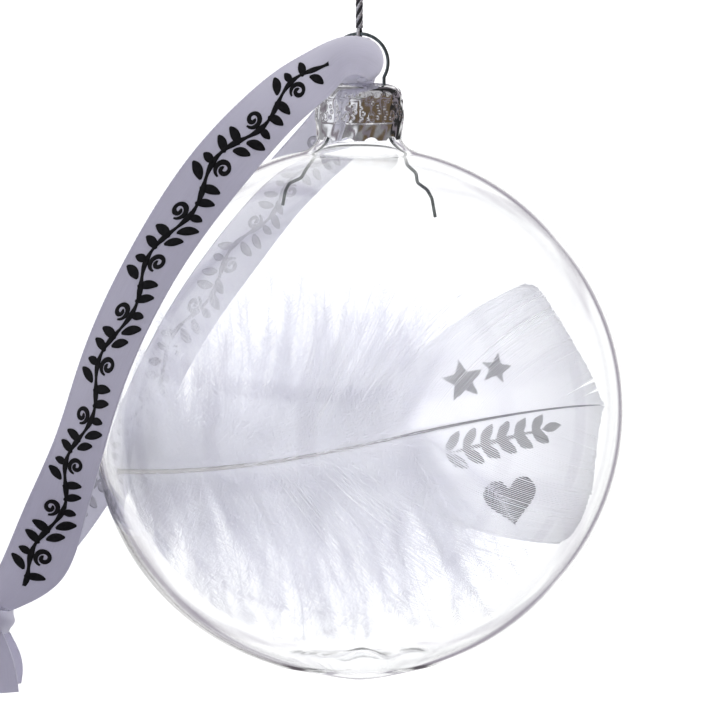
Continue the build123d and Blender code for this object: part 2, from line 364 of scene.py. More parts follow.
def barb_look(name, low, high, through):
    look = Look(name, high, 0.55, Sheen_Weight=0.2, Specular_IOR_Level=0.25)
    soft = look.noise(130.0, 4.0)
    look.colour(soft, [(0.3, low), (0.7, high)]).gloss(soft, 0.5, 0.7)
    return look.lit_through(through, high).material


def shaft_look():
    """Horn: paler at the quill and darker towards the tip."""
    look = Look("feather_horn", (0.7, 0.7, 0.72), 0.35, Specular_IOR_Level=0.4)
    place = look.node("ShaderNodeTexCoord").outputs["Generated"]
    along = look.node("ShaderNodeSeparateXYZ", Vector=place).outputs["X"]
    quill, middle = (0.40, 0.39, 0.40), (0.31, 0.30, 0.32)
    outer, tip = (0.16, 0.16, 0.18), (0.22, 0.22, 0.25)
    look.colour(along, [(0.0, quill), (0.45, middle), (0.75, outer), (1.0, tip)])
    return look.gloss(look.noise(1500.0, stretch=(0.2, 1, 1)), 0.28, 0.45).material


SATIN = satin_look("satin", (0.72, 0.71, 0.79), (0.80, 0.79, 0.87))
SATIN_INK = ink_look("ribbon_ink", (0.003, 0.003, 0.004), 0.6)
SATIN_GHOST = ink_look("ribbon_ink_through", (0.44, 0.43, 0.49), 0.6)

# ---- glass ball

WALL = 1.0
NECK_R, BORE_R, NECK_TOP = 6.1, 5.2, 47.3
FLARE, BORE_FLARE = 3.0, 3.9  # fillets from the neck to the ball
FOOT_R, PUSH_UP_R, PUSH_UP = 10.5, 7.0, 1.1
FOOT_RISE = 0.8  # how far over the base the round part ends
TURNS = 240
# what breath and gravity did to the turned shape
FULL, FULL_INSIDE = 0.70, 0.42  # how far the lower left stands out, on each skin
FULL_Z, FULL_SPREAD = -26, 420  # its height, and the square of how far it spreads
BASE_PART = -30  # the base's own unevenness is below this height
SAG_R, PINCH_R = 7, 9.0  # where the base hangs lowest, and the middle of its crinkles


def arc(centre, radius, start, end, count):
    """Points (r, z) on an arc between two angles in degrees."""
    angles = np.radians(np.linspace(start, end, count))
    return [(centre[0] + radius * math.cos(a), centre[1] + radius * math.sin(a)) for a in angles]


def wall_profile(radius, neck_r, flare, base_z, foot_r):
    """One skin of the ball as (r, z), from the top of the neck to the middle of the base."""
    flare_r = neck_r + flare
    flare_z = math.sqrt((radius + flare) ** 2 - flare_r**2)
    top = math.degrees(math.atan2(flare_z, flare_r))
    foot = math.degrees(math.asin((base_z + FOOT_RISE) / radius))
    rim_z = NECK_TOP - (NECK_R - BORE_R) / 2
    neck = [(neck_r, z) for z in np.linspace(rim_z, flare_z, 12)]
    shoulder = arc((flare_r, flare_z), flare, 180, 180 + top, 10)[1:]
    round_part = arc((0, 0), radius, top, foot, 150)[1:]
    end = round_part[-1]
    corner = (foot_r + (end[0] - foot_r) * 0.45, base_z)
    turn = softened([(*end, 0), (*corner, 0), (foot_r, base_z, 0)], 8)[1:, :2].tolist()
    flat = [(r, base_z) for r in np.linspace(foot_r, PUSH_UP_R, 6)[1:]]
    inwards = np.linspace(PUSH_UP_R, 0.05, 16)[1:]
    hollow = [(r, base_z + PUSH_UP * (1 - smooth_step(0, PUSH_UP_R, r))) for r in inwards]
    return neck + shoulder + round_part + turn + flat + hollow


def hump(offset, spread):
    """1 where the offset is 0, falling off on both sides. spread is a square."""
    return math.exp(-(offset**2) / spread)


def blown(r, z, turn, inner):
    """Moves a point of the turned shape: a full, thick lower left and a crinkled base."""
    low_left = hump(z - FULL_Z, FULL_SPREAD) * (0.5 - 0.5 * math.cos(turn)) ** 1.5
    low_left *= r > BORE_R + 3
    x, y = r * math.cos(turn), r * math.sin(turn)
    out = FULL_INSIDE if inner else FULL
    x -= out * low_left
    z -= 0.7 * out * low_left
    z -= (0.1 + 0.85 * hump(x, 60)) * hump(r - SAG_R, 30) * (z < BASE_PART)
    pinch = hump(r - PINCH_R, 9.0) * (z < BASE_PART)
    z += pinch * 0.26 * math.sin(2 * turn + 0.9) + pinch * 0.12 * math.sin(5 * turn)
    if r < PUSH_UP_R and z < 0:
        z += 0.14 * math.sin(x * 0.9 + 0.5) * math.cos(y * 0.7) * (1 - r / PUSH_UP_R)
    return x, y, z


def glass_ball():
    lip = (NECK_R - BORE_R) / 2
    rim = arc((BORE_R + lip, NECK_TOP - lip), lip, 0, 180, 9)[1:-1]
    outside = wall_profile(BALL_R, NECK_R, FLARE, BASE_Z, FOOT_R)
    inside = wall_profile(BALL_R - WALL, BORE_R, BORE_FLARE, BASE_Z + WALL, FOOT_R - WALL)
    turns = full_turn(TURNS)
    skin = [(r, z, False) for r, z in [*reversed(outside), *rim]]
    skin += [(r, z, True) for r, z in inside]
    rows = [[blown(r, z, turn, inner) for turn in turns] for r, z, inner in skin]
    make("blown_ball", Shape().rings(rows), [glass_look()], "ball", "glass", ["glass_ball"])


# ---- crown cap

CAP_R, CAP_TOP, CAP_BOTTOM = 6.75, 49.2, 40.95
CAP_SHOULDER, CAP_METAL = 2.3, 0.3
LOBES = 11
SCALLOP_R, SCALLOP_DROP = 1.5, 0.95
LOBE_PITCH = 2 * math.pi * CAP_R / LOBES
EMBOSS = 0.2
COLUMNS = 50 * LOBES
SKIRT_TOP = CAP_TOP - CAP_SHOULDER
BAND_TOP = 43.7  # the plain lower band of the skirt ends here
CROWN_MIDDLE = 0.08  # radius of the first ring on the crown
INNER_TOP = SKIRT_TOP - 0.2
INNER_SHOULDER = CAP_SHOULDER - EMBOSS - CAP_METAL
# beads and pits: distance from the middle of a lobe, height, radius, how far it stands out
DOTS = [
    (-1.75, 46.6, 0.28, 0.35),
    (1.1, 46.9, 0.26, 0.35),
    (-0.95, 46.1, 0.24, -0.6),
    (-0.7, 45.3, 0.26, -0.6),
    (-1.0, 44.5, 0.24, -0.6),
    (0.25, 45.9, 0.24, -0.6),
    (0.6, 45.1, 0.27, -0.6),
    (0.3, 44.4, 0.22, -0.6),
    (1.3, 44.3, 0.2, -0.6),
]


def ring_bump(u, v, centre, half_width, half_height, line):
    """A raised oval line round a centre."""
    apart = np.hypot((u - centre[0]) / half_width, (v - centre[1]) / half_height) - 1
    return np.exp(-((apart * (half_width + half_height) / 2 / line) ** 2))


def dot_bump(u, v, centre, radius):
    return np.exp(-(((u - centre[0]) ** 2 + (v - centre[1]) ** 2) / radius**2) ** 2)


def skirt_emboss(u, v):
    """Height of the lace pattern, from 0 to 1, at u round one lobe and v up the skirt."""
    lace = 0.35 + 0.3 * smooth_step(BAND_TOP - 0.25, BAND_TOP + 0.05, v)
    lace -= 0.4 * np.exp(-((u / 0.13) ** 2)) * smooth_step(BAND_TOP, BAND_TOP + 0.4, v)
    for middle in (LOBE_PITCH / 2, -LOBE_PITCH / 2):
        lace += 0.35 * ring_bump(u, v, (middle, 44.6), 0.42, 0.62, 0.16)
    for place, height, radius, rise in DOTS:
        lace += rise * dot_bump(u, v, (place, height), radius)
    return np.clip(lace, 0, 1)


def crown_emboss(u, r):
    """The same on the crown: a petal with a bead in it over each lobe, and a raised ring inside
    them.
    """
    lace = 0.7 * ring_bump(u * r / CAP_R, r, (0, 3.9), 0.6, 0.9, 0.15)
    lace += dot_bump(u * r / CAP_R, r, (0, 3.9), 0.26)
    lace += 0.7 * np.exp(-(((r - 2.5) / 0.16) ** 2))
    return np.clip(lace, 0, 1)


def lean(v):
    """How far the skirt stands in: its band leans in downwards, the rest leans in upwards."""
    return 0.09 * np.maximum(BAND_TOP - v, 0) + 0.05 * np.maximum(v - BAND_TOP, 0)


def crumple(turns, v):
    """The slight unevenness of thin foil."""
    return 0.035 * np.sin(7 * turns + 0.9 * v) + 0.025 * np.sin(17 * turns - 1.7 * v)


def scallop(u):
    """How far the skirt's edge is cut up at u from the middle of a lobe."""
    off = LOBE_PITCH / 2 - np.abs(u)
    return np.maximum(np.sqrt(np.maximum(SCALLOP_R**2 - off**2, 0)) - SCALLOP_DROP, 0)


def crown_cap():
    turns = full_turn(COLUMNS)
    u = ((turns / (2 * math.pi) * LOBES + LOBES / 4 + 0.5) % 1 - 0.5) * LOBE_PITCH
    rows = []

    def ring(r, z):
        z = np.broadcast_to(z, COLUMNS)
        rows.append(np.stack([np.cos(turns) * r, np.sin(turns) * r, z], axis=1))

    for r in np.linspace(CROWN_MIDDLE, CAP_R - CAP_SHOULDER, 44):
        ring(r, CAP_TOP - EMBOSS - 0.02 * r + EMBOSS * 0.9 * crown_emboss(u, r))
    for angle in np.radians(np.linspace(88, 2, 20)):
        c, s = math.cos(angle), math.sin(angle)
        r, z = CAP_R - CAP_SHOULDER + CAP_SHOULDER * c, SKIRT_TOP + CAP_SHOULDER * s
        beads = dot_bump(u, z, (0, 48.3), 0.34)
        beads += dot_bump(np.abs(u), z, (LOBE_PITCH / 2, 47.9), 0.36)
        beads -= 0.5 * dot_bump(np.abs(u), z, (0.95, 48.0), 0.3)
        out = EMBOSS * (0.5 * beads - 0.5) + (crumple(turns, z) - lean(SKIRT_TOP)) * c
        ring(r + out * c, z + out * s)
    edge = CAP_BOTTOM + scallop(u)
    for share in np.linspace(0, 1, 68)[1:]:
        z = SKIRT_TOP + (edge - SKIRT_TOP) * share
        ring(CAP_R - EMBOSS * (1 - skirt_emboss(u, z)) - lean(z) + crumple(turns, z), z)
    for share in np.linspace(1, 0, 10):
        ring(CAP_R - EMBOSS - CAP_METAL, INNER_TOP + (edge - INNER_TOP) * share)
    for angle in np.radians(np.linspace(0, 90, 7))[1:]:
        r = CAP_R - CAP_SHOULDER + INNER_SHOULDER * math.cos(angle)
        ring(r, INNER_TOP + INNER_SHOULDER * math.sin(angle))
    for r in (3.0, 1.0, CROWN_MIDDLE):
        ring(r, INNER_TOP + INNER_SHOULDER)
    make("foil_cap", Shape().rings(rows), [foil_look()], "hanger", "cap", ["cap"])


# ---- hanger wire

WIRE_R = 0.25
RING_Z, RING_R = 52.4, 4.3
LEG_X = 3.7
LEG_TOP = 48.0
LEFT_LEG = [(-LEG_X, LEG_TOP), (-4.2, 43.6), (-4.8, 40.4), (-6.9, 37.8), (-7.9, 36.4)]
LEFT_LEG += [(-8.7, 35.0), (-10.5, 34.2), (-11.1, 33.0), (-11.5, 30.9)]
RIGHT_LEG = [(LEG_X, LEG_TOP), (4.2, 43.6), (4.8, 40.4), (6.9, 37.9), (7.2, 36.9)]
RIGHT_LEG += [(8.5, 35.7), (8.7, 34.3), (10.2, 33.2), (10.9, 31.9), (11.4, 29.1)]


def hanger_wire():
    steel = wire_look("spring_wire", (0.10, 0.125, 0.125), (0.22, 0.26, 0.26))
    # the legs take a darker copy of the same spring wire as the eye: painted shade
    painted_shade_steel = wire_look("spring_wire_painted_shade", (0.025, 0.035, 0.035), (0.07, 0.085, 0.085))
    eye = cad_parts["wire_eye"]
    eye.data.materials.clear()
    eye.data.materials.append(steel)
    shape = Shape()
    for leg in (LEFT_LEG, RIGHT_LEG):
        shape.rings(tube_rings(kinked([(x, 0.0, z) for x, z in leg]), WIRE_R, 12))
    legs = make("spring_legs", shape, [painted_shade_steel], "hanger", "wire", ["wire_legs"])
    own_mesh(legs)


# ---- metallic thread

thread_low, thread_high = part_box("thread")
THREAD_Z = (thread_low.z - CENTRE_Z) / MM
THREAD_LENGTH = (thread_high.z - thread_low.z) / MM
THREAD_R = 0.55
PLY_R = 0.27
STRAND_R = 0.25  # each half of the thread where it goes round the wire
TWIST = 3.4  # length of one turn
KNOT_R = 1.25
KNOT_Z = THREAD_Z + THREAD_LENGTH + KNOT_R
HANG_Z = -CENTRE_Z / MM  # the inside top of the loop
LOOP_HALF_WIDTH = 2.9
PLY_STEP = 0.16


def nurbs_line(name, points):
    """Points along the smooth line that a route's control points make."""
    curve = bpy.data.curves.new(name, "CURVE")
    curve.dimensions = "3D"
    line = curve.splines.new("NURBS")
    line.points.add(len(points) - 1)
    for point, place in zip(line.points, points):
        point.co = (*place, 1.0)
    line.order_u = 3
    line.use_endpoint_u = True
    line.resolution_u = 32
    holder = bpy.data.objects.new(name, curve)
    mesh = bpy.data.meshes.new_from_object(holder)
    path = np.array([v.co for v in mesh.vertices])
    bpy.data.objects.remove(holder)
    bpy.data.meshes.remove(mesh)
    return path


def twisted(shape, path, ply_r=PLY_R, spread=THREAD_R - PLY_R, pitch=TWIST):
    """Four plies round a path, silver and dark by turns."""
    path = resampled(np.asarray(path, float), PLY_STEP)
    for ply in range(4):
        wound = helix(path, spread, pitch, ply * math.pi / 2)
        shape.rings(tube_rings(wound, ply_r), kind=ply % 2)


def metallic_thread():
    plies = [
        thread_look("thread_silver", (0.50, 0.50, 0.53), (0.86, 0.86, 0.88), 0.85, 0.3),
        thread_look("thread_dark", (0.015, 0.015, 0.018), (0.06, 0.06, 0.065), 0.2, 0.5),
    ]
    heights = [THREAD_Z + THREAD_LENGTH * share for share in (0, 0.5, 1)]
    route = nurbs_line("thread_route", [(0, 0, z) for z in heights])

    def piece(name, shape, body, node):
        return make(name, shape, plies, body, "thread", [node], outwards=False)

    straight = Shape()
    twisted(straight, route)
    cord = piece("twisted_thread", straight, "cord", "thread")

    bend = Shape()
    top, under = THREAD_Z - 0.05, RING_Z + RING_R
    for side, kind in ((-1, 0), (1, 1)):
        strand = [
            (0.12 * side, 0.1 * side, top),
            (0.2 * side, 0.62 * side, under + 0.5),
            (0.22 * side, 0.72 * side, under - 0.45),
            (0.1 * side, 0.3 * side, under - 0.62),
            (0.0, -0.15 * side, under - 0.55),
        ]
        bend.rings(tube_rings(softened(strand), STRAND_R), kind=kind)
    piece("thread_round_wire", bend, "cord_end", "thread_bight")

    turns = full_turn(120)
    ring = 0.62 + 0.3 * np.cos(3 * turns)
    across, deep, up = ring * np.cos(2 * turns), ring * np.sin(2 * turns), 0.62 * np.sin(3 * turns)
    knot_shape = Shape()
    twisted(knot_shape, np.stack([across, deep, up + KNOT_Z], axis=1), 0.16, 0.16, 1.6)
    knot = piece("thread_overhand_knot", knot_shape, "hook_loop", "thread_knot")

    over = arc((0, HANG_Z - LOOP_HALF_WIDTH - 0.6), LOOP_HALF_WIDTH + 0.75, -10, 190, 40)
    foot = KNOT_Z + KNOT_R * 0.5
    loop_line = [(0.35, foot), (1.3, foot + 2.2), *over, (-1.3, foot + 2.2), (-0.35, foot)]
    loop_shape = Shape()
    twisted(loop_shape, [(x, 0.0, z) for x, z in loop_line], 0.15, 0.14, 1.9)
    loop = piece("thread_hanging_loop", loop_shape, "hook_loop", "thread_loop")


# ---- satin ribbon

# Each station is x, y, z of the ribbon's outer edge, the same of its inner edge, and how far it
# bulges between them.
FRONT = [
    (-56.4, -0.9, -27.9, -52.4, -1.6, -30.2, 0.6),
    (-53.2, -4.5, -21.1, -44.6, -8.0, -24.7, 0.5),
    (-50.1, -8.0, -13.7, -41.2, -11.0, -16.4, 0.2),
    (-44.9, -12.5, -1.9, -37.8, -18.9, -4.3, 0.3),
    (-41.3, -15.5, 9.0, -34.3, -22.2, 6.7, 0.3),
    (-33.8, -17.5, 25.6, -25.9, -22.5, 23.5, 0.4),
    (-23.9, -17.0, 40.8, -17.0, -20.6, 35.4, 0.5),
    (-17.0, -13.5, 47.9, -11.6, -17.5, 41.6, 0.6),
    (-12.3, -9.5, 51.6, -7.6, -15.0, 45.5, 0.8),
    (-7.2, -5.2, 54.4, -3.5, -11.4, 49.0, 1.3),
    (-1.5, -1.9, 56.3, -0.4, -7.9, 50.9, 2.2),
    (1.0, -1.2, 56.0, 1.2, -4.2, 49.9, 2.4),
]
EYE_ARC = (1.2, 0.0, 55.9, -0.35, 0.0, 49.72, 3.1)  # curled inside the wire eye
BACK = [
    (1.2, 1.4, 55.9, 1.4, 3.4, 49.8, 2.3),
    (-0.2, 3.6, 54.9, 1.9, 8.0, 48.3, 2.0),
    (-2.9, 8.2, 50.6, 0.9, 13.8, 44.2, 1.2),
    (-6.3, 14.0, 45.1, -0.8, 20.0, 39.3, 0.7),
    (-14.6, 21.5, 35.1, -8.8, 27.6, 29.5, 0.5),
    (-22.2, 26.6, 25.4, -15.7, 32.4, 20.2, 0.4),
    (-30.6, 26.8, 13.0, -24.5, 32.5, 7.8, 0.4),
    (-38.1, 20.0, -0.7, -31.7, 26.2, -5.2, 0.3),
    (-44.8, 11.0, -12.0, -38.9, 17.0, -16.8, 0.3),
    (-51.0, 5.0, -20.4, -46.0, 10.2, -25.4, 0.5),
    (-55.8, 2.0, -27.6, -52.8, 3.6, -30.3, 0.6),
]
FRONT_TAIL = [
    (-57.6, -1.0, -33.2, -54.0, -1.6, -33.5, 0.4),
    (-59.9, -1.8, -37.0, -52.3, -2.6, -37.5, 0.6),
    (-60.4, -1.6, -43.0, -51.2, -3.6, -45.2, 0.3),
]
BACK_TAIL = [
    (-57.0, 2.4, -33.4, -53.4, 2.0, -33.6, 0.4),
    (-59.4, 3.8, -36.8, -51.6, 2.0, -37.2, 0.7),
    (-60.2, 5.6, -44.2, -51.4, 3.4, -42.2, 0.3),
]
RIBBON_WIDTH = 10.0
CLOTH = 0.16  # thickness of the satin
SELVEDGE = 0.6  # width of the woven edge
SELVEDGE_THICK = 0.34
PICOT = 0.72  # spacing of the threads that turn back at the edge
ROW_STEP = 0.18
ACROSS = 26


class Strip:
    """The middle surface of a strip of satin through its stations."""

    def __init__(self, stations):
        stations = np.array(stations)
        chords = lengths_along((stations[:, :3] + stations[:, 3:6]) / 2)
        self.shape = spline(chords, stations)
        self.places = np.linspace(0, chords[-1], 2001)
        values = self.shape(self.places)
        self.lengths = lengths_along((values[:, :3] + values[:, 3:6]) / 2)
        self.length = self.lengths[-1]
        self.stations = np.interp(chords, self.places, self.lengths)

    def surface(self, along, across):
        """Points and outward normals at lengths along the strip and shares (-1 to 1) across."""
        place = np.interp(along, self.lengths, self.places)
        values, step = self.shape(place), self.shape(place + 0.05) - self.shape(place - 0.05)
        outer, inner, bulge = values[:, :3], values[:, 3:6], np.maximum(values[:, 6], 0.05)
        middle = (outer + inner) / 2
        ahead = step[:, :6].reshape(-1, 2, 3).mean(axis=1)
        half = np.linalg.norm(inner - outer, axis=1) / 2
        across_dir = unit(inner - outer)
        out = -unit(np.cross(unit(ahead), across_dir))
        radius = (half**2 + bulge**2) / (2 * bulge)
        angle = np.arctan2(half, radius - bulge) * across
        rise = radius * np.cos(angle) - (radius - bulge)
        points = middle + across_dir * (radius * np.sin(angle))[:, None] + out * rise[:, None]
        normals = across_dir * np.sin(angle)[:, None] + out * np.cos(angle)[:, None]
        return points, normals


def cloth_thickness(along, across):
    """Half the thickness of the satin, which is more at the ribbed selvedge."""
    from_edge = (1 - np.abs(across)) * RIBBON_WIDTH / 2
    edge = 1 - smooth_step(SELVEDGE * 0.5, SELVEDGE, from_edge)
    ribs = 0.72 + 0.28 * np.cos(along / PICOT * 2 * math.pi)
    return (CLOTH + (SELVEDGE_THICK - CLOTH) * edge * ribs) / 2


def satin_strip(shape, strip, slant=0.0):
    """A closed skin round a strip. The UVs are millimetres along and across it."""
    steps = max(8, round(strip.length / ROW_STEP))
    share = np.sin(np.linspace(-math.pi / 2, math.pi / 2, ACROSS))
    columns = np.concatenate([share, share[::-1][1:-1]])
    side = np.concatenate([np.ones(ACROSS), -np.ones(ACROSS - 2)])
    side[0] = side[ACROSS - 1] = 0.0
    rows = []
    for along in np.linspace(0, strip.length, steps):
        cut = along - slant * (columns + 1) / 2 * (along / strip.length) ** 2
        points, normals = strip.surface(cut, columns)
        rows.append(points + normals * (side * cloth_thickness(along, columns))[:, None])
        shape.uvs.extend(zip(cut, columns * RIBBON_WIDTH / 2))
    return shape.rings(rows)


# the printed vine: strokes in millimetres along and across the ribbon
VINE_PITCH = 17.0
VINE_SWAY = 1.2
PRINT_START, PRINT_END = 6.0, 8.0  # bare ribbon at each end
BARE_BEFORE, BARE_AFTER = 11.0, 13.0  # and on each side of the wire eye
STROKE_STEP, STEM_STEP, STEM_RUN = 0.22, 0.25, 80
INK_HALF, INK_LIFT = 0.03, 0.012  # half its thickness, and how far its middle is off the satin
# leaves round each crest: how far along, share of the stem's sway, angle, length, width
LEAVES = [
    (-2.4, 0.8, 48, 3.4, 1.45),
    (0.6, 1.0, 66, 2.3, 1.25),
    (-3.4, 0.5, -58, 3.4, 1.45),
    (2.8, 0.5, 50, 3.1, 1.35),
    (3.8, 0.0, -46, 3.0, 1.35),  # on every other crest
]


def stroke(points, widths):
    """A pen stroke: points along and across the ribbon, with its width at each."""
    points = np.asarray(points, float)
    at = lengths_along(points)
    places = at / at[-1]
    share = np.linspace(0, 1, max(4, round(at[-1] / STROKE_STEP)))
    line = np.stack([np.interp(share, places, points[:, k]) for k in (0, 1)], axis=1)
    return line, np.interp(share, np.linspace(0, 1, len(widths)), widths)


def leaf(root, angle, length, width):
    """A pointed leaf from its root, a little curved."""
    t = np.linspace(0, 1, 14)
    turn = math.radians(angle) + 0.5 * t * (1 if angle > 0 else -1)
    step = length / (len(t) - 1)
    line = np.cumsum(np.stack([np.cos(turn), np.sin(turn)], axis=1) * step, axis=0) + root
    swell = np.sin(np.pi * np.linspace(0.04, 0.97, len(t))) ** 0.8
    return stroke(line, width * swell + 0.06)


def curl(centre, side):
    """A tendril that winds in on itself."""
    t = np.linspace(0, 1, 30)
    turn, radius = t * 1.4 * 2 * math.pi, 1.25 * (1 - t) ** 0.8 + 0.15
    points = np.stack([-radius * np.cos(turn), side * radius * np.sin(turn)], axis=1)
    return stroke(points + centre, [0.3, 0.72, 0.85, 0.6, 0.75, 0.55])


def vine_strokes(start_at, end_at):
    """All the strokes of the vine over a stretch of ribbon."""
    strokes = []
    places = np.arange(start_at, end_at, STEM_STEP)
    sway = VINE_SWAY * np.sin(places / VINE_PITCH * 2 * math.pi)
    thick = 0.5 + 0.5 * np.cos(places / VINE_PITCH * 4 * math.pi + 0.8) ** 2
    stem = np.stack([places, sway], axis=1)
    for start in range(0, len(places) - 1, STEM_RUN):
        run = slice(start, start + STEM_RUN + 1)
        if len(places[run]) > 3:
            strokes.append(stroke(stem[run], thick[run]))
    crests = np.arange(start_at + 5, end_at - 5, VINE_PITCH / 2)
    for number, place in enumerate(crests):
        height = VINE_SWAY * math.sin(place / VINE_PITCH * 2 * math.pi)
        side = 1 if height > 0 else -1
        strokes.append(curl((place + 1.0, height - 1.9 * side), side))
        for along, share, angle, length, width in LEAVES[: 4 if number % 2 else 5]:
            strokes.append(leaf((place + along, height * share), angle * side, length, width))
    return strokes


def vine_print(strip, face):
    """The vine laid on one face of the strip, 1 for the outside and -1 for the inside."""
    shape = Shape()
    eye = strip.stations[len(FRONT)]
    strokes = vine_strokes(PRINT_START, eye - BARE_BEFORE)
    strokes += vine_strokes(eye + BARE_AFTER, strip.length - PRINT_END)
    for line, widths in strokes:
        tangents = unit(np.gradient(line, axis=0))
        sides = np.stack([-tangents[:, 1], tangents[:, 0]], axis=1)
        rows = []
        for (along, across), side, width in zip(line, sides, widths):
            spread = np.linspace(-0.5, 0.5, 5) * width
            shares = np.clip((across + side[1] * spread) / (RIBBON_WIDTH / 2), -0.9, 0.9)
            points, normals = strip.surface(along + side[0] * spread, shares)
            middle = points + normals * face * (CLOTH / 2 + INK_LIFT)
            half = normals * face * INK_HALF
            rows.append(np.concatenate([middle + half, (middle - half)[::-1]]))
        shape.rings(rows)
    return shape


def round_axis(axis):
    """Two directions square to an axis and to each other."""
    side = unit(np.cross(axis, (0, 1, 0)))
    return side, np.cross(axis, side)


def pleated(centre, axis, half_length, radius, pleats, depth, flare, seed):
    """A gathered bunch of satin round an axis, wider at both ends."""
    rng = random.Random(seed)
    side, front = round_axis(axis)
    phases = [rng.uniform(0, 6.28) for _ in range(2)]
    turns = full_turn(96)
    circle = np.cos(turns)[:, None] * side + np.sin(turns)[:, None] * front
    rows = []
    for share in np.linspace(-1, 1, 41):
        size = radius * (1 + flare * share**2)
        size *= math.sqrt(max(1 - (abs(share) * 0.98) ** 8, 0.02))
        folds = 1 + depth * np.cos(pleats * turns + phases[0] + 0.9 * share)
        folds += depth * 0.6 * np.cos((pleats + 4) * turns + phases[1] - 1.7 * share)
        rows.append(centre + axis * share * half_length + circle * (size * folds)[:, None])
    return rows


def satin_knot():
    """The ribbon's two ends, gathered, with one turn of it wrapped round them."""
    tie = np.array((-55.4, 0.8, -31.3))
    axis = unit((-0.22, 0.0, -1.0))
    bunch = pleated(
        tie, axis, half_length=2.9, radius=1.75, pleats=7, depth=0.10, flare=0.35, seed=3
    )
    wrap = []
    side, front = round_axis(axis)
    for turn in full_turn(72):
        out = math.cos(turn) * side * 1.12 + math.sin(turn) * front
        tilt = 0.55 * math.sin(turn + 0.7)
        ring = []
        for around in full_turn(28):
            along, lift = math.cos(around), math.sin(around)
            fold = 0.14 * math.cos(4.5 * along + 2.0 * math.sin(turn)) * (lift > 0)
            ring.append(tie + out * (2.35 + 0.55 * lift + fold) + axis * (tilt + 1.75 * along))
        wrap.append(ring)
    shape = Shape().rings(bunch).rings(wrap, hoop=True)
    for number in range(len(shape.points)):
        shape.uvs.append((number % len(ring) * 0.3, number // len(ring) * 0.25))
    return shape


def satin_ribbon():
    def piece(name, shape, look=SATIN, nodes=()):
        return make(name, shape, [look], "ribbon_loop", "ribbon", nodes)

    loop = Strip(FRONT + [EYE_ARC] + BACK)
    ribbon = piece("satin_ribbon", satin_strip(Shape(), loop), nodes=["ribbon"])
    vine = piece("ribbon_vine_print", vine_print(loop, 1), SATIN_INK)
    ghost = piece("ribbon_print_seen_through", vine_print(loop, -1), SATIN_GHOST)
    cut_ends = satin_strip(Shape(), Strip(FRONT_TAIL), slant=2.4)
    satin_strip(cut_ends, Strip(BACK_TAIL), slant=-0.1)
    tails = piece("ribbon_tail_ends", cut_ends, nodes=["ribbon_tails"])
    knot = piece("ribbon_tied_knot", satin_knot(), nodes=["ribbon_knot"])
    print(f"ribbon loop {loop.length:.1f} mm round")


# ---- feather

FEATHER_Y = 0.6
REACH = 37.9  # the feather keeps inside this radius
LOWEST = -35.6  # and above the push-up of the base
SHAFT = [(-37.0, -9.6), (-20.0, -10.2), (26.0, 0.5), (36.6, 0.7)]
# root along X, the barb's tip (x, z), the angle it leaves the shaft at, in degrees above +X
UPPER_VANE = [
    (-0.5, (24.6, 18.9), 67), (3.0, (26.4, 18.7), 65),
    (8.0, (28.5, 16.2), 61), (14.0, (30.9, 12.5), 57),
    (20.0, (33.0, 8.9), 50), (27.0, (35.1, 5.2), 41),
    (33.0, (36.3, 2.2), 28), (36.5, (37.0, 0.9), 10),
]
LOWER_VANE = [
    (-3.5, (30.2, -20.6), -43), (1.0, (32.4, -19.0), -42),
    (6.0, (34.0, -16.2), -40), (12.0, (35.2, -12.5), -37),
    (20.0, (35.8, -7.9), -31), (28.0, (36.2, -3.7), -24),
    (33.0, (36.6, -1.2), -16), (36.5, (37.0, 0.3), -6),
]
# the barbs between down and vane, which stand apart
UPPER_LOOSE = [(-15.0, (-5.0, 17.5), 60), (-9.0, (3.5, 19.2), 61)]
UPPER_LOOSE += [(-4.5, (11.0, 19.6), 62), (-0.2, (20.5, 19.0), 65)]
LOWER_LOOSE = [(-15.0, (2.0, -32.0), -54), (-10.0, (11.5, -29.0), -50)]
LOWER_LOOSE += [(-6.5, (19.0, -25.4), -46), (-3.2, (28.0, -21.2), -43)]
# where the vane has come apart: root along X, how far the tips stand apart
UPPER_SPLITS = [(28.2, 0.6), (31.0, 0.4)]
LOWER_SPLITS = [(11.5, 0.45), (21.0, 0.25)]
# root along X, angle above +X in degrees, length
UPPER_DOWN = [(-36.8, 80, 9.0), (-32.0, 76, 21.0), (-20.0, 67, 30.0)]
UPPER_DOWN += [(-8.0, 62, 29.5), (0.0, 60, 24.0), (5.0, 56, 20.0)]
LOWER_DOWN = [(-36.8, -72, 16.0), (-32.0, -66, 26.0), (-20.0, -58, 29.0)]
LOWER_DOWN += [(-8.0, -55, 31.0), (2.0, -50, 32.0), (9.0, -42, 27.0)]
VANE_BARBS = 210
LOOSE_BARBS = 85
DOWN_BARBS = 200
SHORT_BARBS = 120
BARB_THICK = 0.07
INK_WIDTH = 0.13
BARB_STEPS = 26
DOWN_WIDTH, DOWN_THICK = 0.13, 0.05
HAIR_STEP, HAIR_HALF = 0.4, 0.035  # spacing of the barbules, and half their width
HAIR_SPAN = (1.5, 3.1)


def keyed(keys, x):
    """Angle and length at x from a list of (x, angle, length)."""
    places, *values = zip(*keys)
    return [np.interp(x, places, value) for value in values]


shaft_line = softened([(x, FEATHER_Y, z) for x, z in SHAFT], 24)


def shaft_height(x):
    return float(np.interp(x, shaft_line[:, 0], shaft_line[:, 2]))


def clears_the_glass(points):
    return np.linalg.norm(points, axis=-1).max() < REACH and points[..., 2].min() > LOWEST


